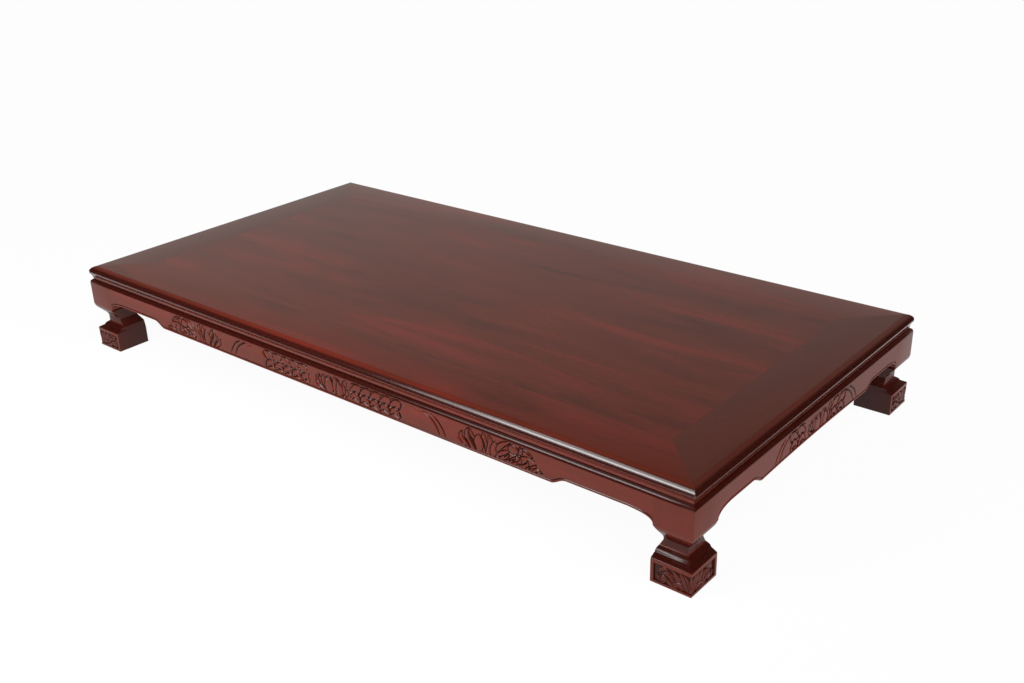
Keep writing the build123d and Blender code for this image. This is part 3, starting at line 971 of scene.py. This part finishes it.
class KANG_OT_top(bpy.types.Operator):
    """Mould and mitre the four members of the top frame, and finish the panel"""

    bl_idname = "kang.top"
    bl_label = "Top frame and panel"

    def execute(self, context):
        for half_length, sides, kind in (
                (HALF_LENGTH, ("front", "back"), "long_member"),
                (HALF_WIDTH, ("left", "right"), "short_member")):
            start_piece()
            draw_outline([Vector((-half_length, s, z)) * MM for s, z in edge_section()])
            piece = context.object
            bpy.ops.mesh.extrude_region_move(
                TRANSFORM_OT_translate={"value": (2 * half_length * MM, 0, 0)})
            for end in (1, -1):
                cut_off((end * half_length * MM, 0, 0), (end, 1, 0))
                self.rub_corner(end, half_length)
            close_piece(piece, "frame_member", 24)
            paint_glaze_and_shade(piece, lambda place, normal: (
                rise(place[:, 2], TABLE_TOP - 1.2, TABLE_TOP - 6)
                * rise(place[:, 2], NOSE_LEVEL - 1, NOSE_LEVEL + 1)
                * (place[:, 1] < 2 * SHOULDER_RADIUS)))
            set_round(piece, "mitred_frame_", sides, finish_of(context, kind), "top_frame_")
        for number in range(1, 6):
            give(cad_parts[f"panel_board_{number}"], finish_of(context, "panel"))
        return {"FINISHED"}

    def rub_corner(self, end, half_length):
        """Round off the point of the moulding beside a mitre."""
        for turn in MITRE_TURNS:
            away = Vector((end * math.sin(math.radians(turn)), -math.cos(math.radians(turn)), 0))
            middle = Vector((end * (half_length - CORNER_RADIUS), CORNER_RADIUS, 0))
            cut_off((middle + CORNER_RADIUS * away) * MM, away)


class KANG_OT_legs(bpy.types.Operator):
    """Shape the four legs with their cushioned block feet"""

    bl_idname = "kang.legs"
    bl_label = "Legs"

    def execute(self, context):
        sizes = context.scene.kang_sizes
        levels = [tuple(value * MM for value in level) for level in leg_levels()]
        start_piece()
        z, low, high = levels[0]
        middle = (low + high) / 2
        bpy.ops.mesh.primitive_plane_add(size=high - low, location=(middle, middle, z))
        leg = context.object
        bpy.ops.object.transform_apply()
        bpy.ops.object.mode_set(mode="EDIT")
        pick_all("VERT")
        for next_z, next_low, next_high in levels[1:]:
            next_middle = (next_low + next_high) / 2
            shift = next_middle - middle
            bpy.ops.mesh.extrude_region_move(
                TRANSFORM_OT_translate={"value": (shift, shift, next_z - z)})
            grow = (next_high - next_low) / (high - low)
            bpy.ops.transform.resize(
                value=(grow, grow, 1), center_override=(next_middle, next_middle, next_z))
            z, low, high, middle = next_z, next_low, next_high, next_middle
        pick_all()
        # the inner faces have no height at the shelf
        bpy.ops.mesh.dissolve_degenerate(threshold=1e-6)
        bpy.ops.mesh.normals_make_consistent(inside=False)
        self.sink_panel(leg, sizes.foot_depth)
        self.rub_arrises(leg, sizes.arris)
        close_piece(leg, "leg", 24)
        paint_glaze_and_shade(leg, self.glaze_and_shade_depth)
        set_round(leg, "shaped_leg_", CORNERS, finish_of(context, "leg"), "leg_")
        return {"FINISHED"}

    def glaze_and_shade_depth(self, place, normal):
        """Glaze on the cushion, glaze and painted shade on the round on top, painted shade on the
        neck and inside, and a painted highlight line between cushion and neck.
        """
        z = place[:, 2]
        cushion = rise(z, FOOT_HEIGHT - 0.8, FOOT_HEIGHT + 0.2) * rise(z, NECK_LOW + 2, NECK_LOW)
        neck = NECK_AND_INNER_SHADE * rise(z, NECK_LOW, NECK_LOW + 2) * rise(z, NECK_SHADE_TOP, NECK_SHADE_TOP - 12)
        # the round on top: glaze, and painted shade under the overhang of the top
        top = rise(z, SHELF - ROUND_HEIGHT - 0.5, SHELF - ROUND_HEIGHT + 2)
        # painted highlight: the glaze and shade are lightened along the line between cushion and
        # neck
        painted_highlight_line = 1 - 0.7 * np.exp(-((z - NECK_LOW) / 0.9) ** 2)
        outer = np.maximum.reduce([cushion * painted_highlight_line, neck * painted_highlight_line, top])
        # painted shade on the inner faces, which lie in the shadow under the table
        inner = NECK_AND_INNER_SHADE * rise(z, ARCH_FOOT + 4, ARCH_FOOT - 8)
        return np.where(normal[:, :2].min(1) < -0.05, outer, inner)

    def sink_panel(self, leg, depth):
        """Sink one panel round the outer corner of the foot."""
        def on_block(face):
            middle = face.calc_center_median()
            outer = face.normal.x < -0.9 or face.normal.y < -0.9
            return outer and PANEL_LOW * MM < middle.z < PANEL_HIGH * MM

        def on_panel(face):
            middle = face.calc_center_median()
            return on_block(face) and max(middle.x, middle.y) < PANEL_END * MM

        for normal in ((1, 0, 0), (0, 1, 0)):
            pick(leg, "faces", on_block)
            bpy.ops.mesh.bisect(
                plane_co=(PANEL_END * MM,) * 3, plane_no=normal, threshold=1e-7)
        pick(leg, "faces", on_panel)
        bpy.ops.mesh.extrude_region_shrink_fatten(
            TRANSFORM_OT_shrink_fatten={"value": -depth, "use_even_offset": True})

    def rub_arrises(self, leg, radius):
        """Ease the long corners, but leave the joints with the aprons crisp."""
        near = 2e-6

        def on_corner(edge):
            a, b = (v.co for v in edge.verts)
            if abs(a.z - b.z) < near and (abs(a.x - b.x) < near or abs(a.y - b.y) < near):
                return False
            low, high = min(a.z, b.z), max(a.z, b.z)
            in_panel = PANEL_LOW * MM - near < low and high < PANEL_HIGH * MM + near
            outer = abs(a.x - a.y) < near and abs(b.x - b.y) < near and a.x < LEG / 2 * MM
            if in_panel:
                return not outer and max(a.x, a.y) > (FOOT - 1) * MM
            return outer or high < ARCH_FOOT * MM + near

        pick(leg, "edges", on_corner)
        bpy.ops.mesh.bevel(
            offset=radius, segments=3, profile=0.5, affect="EDGES", clamp_overlap=True)


class KANG_OT_foot_carving(bpy.types.Operator):
    """Carve the acanthus leaves in the panels of the feet"""

    bl_idname = "kang.foot_carving"
    bl_label = "Foot carving"

    def execute(self, context):
        ground = context.scene.kang_sizes.foot_depth / MM
        u, z = np.meshgrid(np.linspace(-PANEL_END, PANEL_END, FOOT_GRID[0]),
                           np.linspace(PANEL_LOW, PANEL_HIGH, FOOT_GRID[1]), indexing="ij")
        relief = Relief(np.abs(u), z, ground - 0.5, ground - 0.1)
        carve_foot(relief)
        depth = np.clip(relief.depth, 0.25, ground)
        front = self.wrap(u, z, depth)
        deep = np.full_like(depth[:, :1], ground + 0.6)
        back_low = self.wrap(u[:, :1], z[:, :1], deep)
        back_top = self.wrap(u[:, -1:], z[:, -1:], deep)
        places = np.concatenate([back_low, front, back_top, back_low], axis=1)
        # painted shade in the foot carving, darker where it is cut deeper
        cut = np.pad(0.52 * depth / ground, ((0, 0), (1, 2)))
        piece = carved_sheet("foot_carving", places, cut)
        # the whole sunk panel of the foot is darkened evenly as painted shade
        paint_glaze_and_shade(piece, lambda place, normal: np.full(len(place), 0.45))
        set_round(piece, "foot_carving_", CORNERS, finish_of(context, "leg"))
        return {"FINISHED"}

    def wrap(self, u, z, depth):
        """Bend the flat panel round the corner of the foot."""
        reach = 9.0
        at_corner = depth[len(u) // 2]
        pushed = np.abs(u) + at_corner * np.clip(1 - np.abs(u) / reach, 0, 1)
        on_front = u >= 0
        return np.stack([np.where(on_front, pushed, depth),
                         np.where(on_front, depth, pushed), z], -1)


class KANG_OT_aprons(bpy.types.Operator):
    """Shape and carve the four aprons"""

    bl_idname = "kang.aprons"
    bl_label = "Aprons"

    def execute(self, context):
        depth = context.scene.kang_sizes.cut_depth
        long_edge = lower_edge(
            HALF_LENGTH, LONG_STEP, LONG_ARCH, 0.0, spaced(LONG_COLUMNS))
        short_edge = lower_edge(
            HALF_WIDTH, SHORT_STEP, SHORT_ARCH, SHORT_CROWN, spaced(SHORT_COLUMNS))
        for sides, edge, design, kind in (
                (("front", "back"), long_edge, (LONG_CHAIN, 0, True), "long_apron"),
                (("left", "right"), short_edge, (SHORT_CHAIN, SHORT_RINGS, False), "short_apron")):
            piece = make_apron(edge, design, depth)
            set_round(piece, "carved_apron_", sides, finish_of(context, kind), "apron_")
        return {"FINISHED"}


class KANG_OT_underside(bpy.types.Operator):
    """Finish the waist strips and the battens"""

    bl_idname = "kang.underside"
    bl_label = "Waist and battens"

    def execute(self, context):
        batten_wood = sealed_hardwood(
            "sealed_batten_wood", tuple(context.scene.kang_colours.sealed_wood), ALONG_Y)
        for name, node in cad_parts.items():
            if name.startswith("batten"):
                give(node, batten_wood)
            elif name.startswith("waist_strip"):
                long = name.endswith(("front", "back"))
                give(node, finish_of(context, "long_apron" if long else "short_apron"))
        return {"FINISHED"}


class KANG_PT_panel(bpy.types.Panel):
    """Steps that build the kang table"""

    bl_label = "Kang table"
    bl_space_type = "VIEW_3D"
    bl_region_type = "UI"
    bl_category = "Kang table"

    def draw(self, context):
        for group in (context.scene.kang_sizes, context.scene.kang_colours):
            for name in group.bl_rna.properties.keys():
                if name not in ("rna_type", "name"):
                    self.layout.prop(group, name)
        for step in STEPS:
            self.layout.operator(step.bl_idname)


STEPS = (KANG_OT_stage, KANG_OT_top, KANG_OT_underside, KANG_OT_legs,
         KANG_OT_foot_carving, KANG_OT_aprons)
CLASSES = (KangTableSizes, KangTableColours, *STEPS, KANG_PT_panel)


def register():
    for made in CLASSES:
        bpy.utils.register_class(made)
    bpy.types.Scene.kang_sizes = bpy.props.PointerProperty(type=KangTableSizes)
    bpy.types.Scene.kang_colours = bpy.props.PointerProperty(type=KangTableColours)


def unregister():
    del bpy.types.Scene.kang_sizes
    del bpy.types.Scene.kang_colours
    for made in reversed(CLASSES):
        bpy.utils.unregister_class(made)


def main():
    """Build the table."""
    register()
    bpy.ops.kang.stage()
    bpy.ops.kang.top()
    bpy.ops.kang.underside()
    bpy.ops.kang.legs()
    bpy.ops.kang.foot_carving()
    bpy.ops.kang.aprons()


if __name__ == "__main__":
    main()
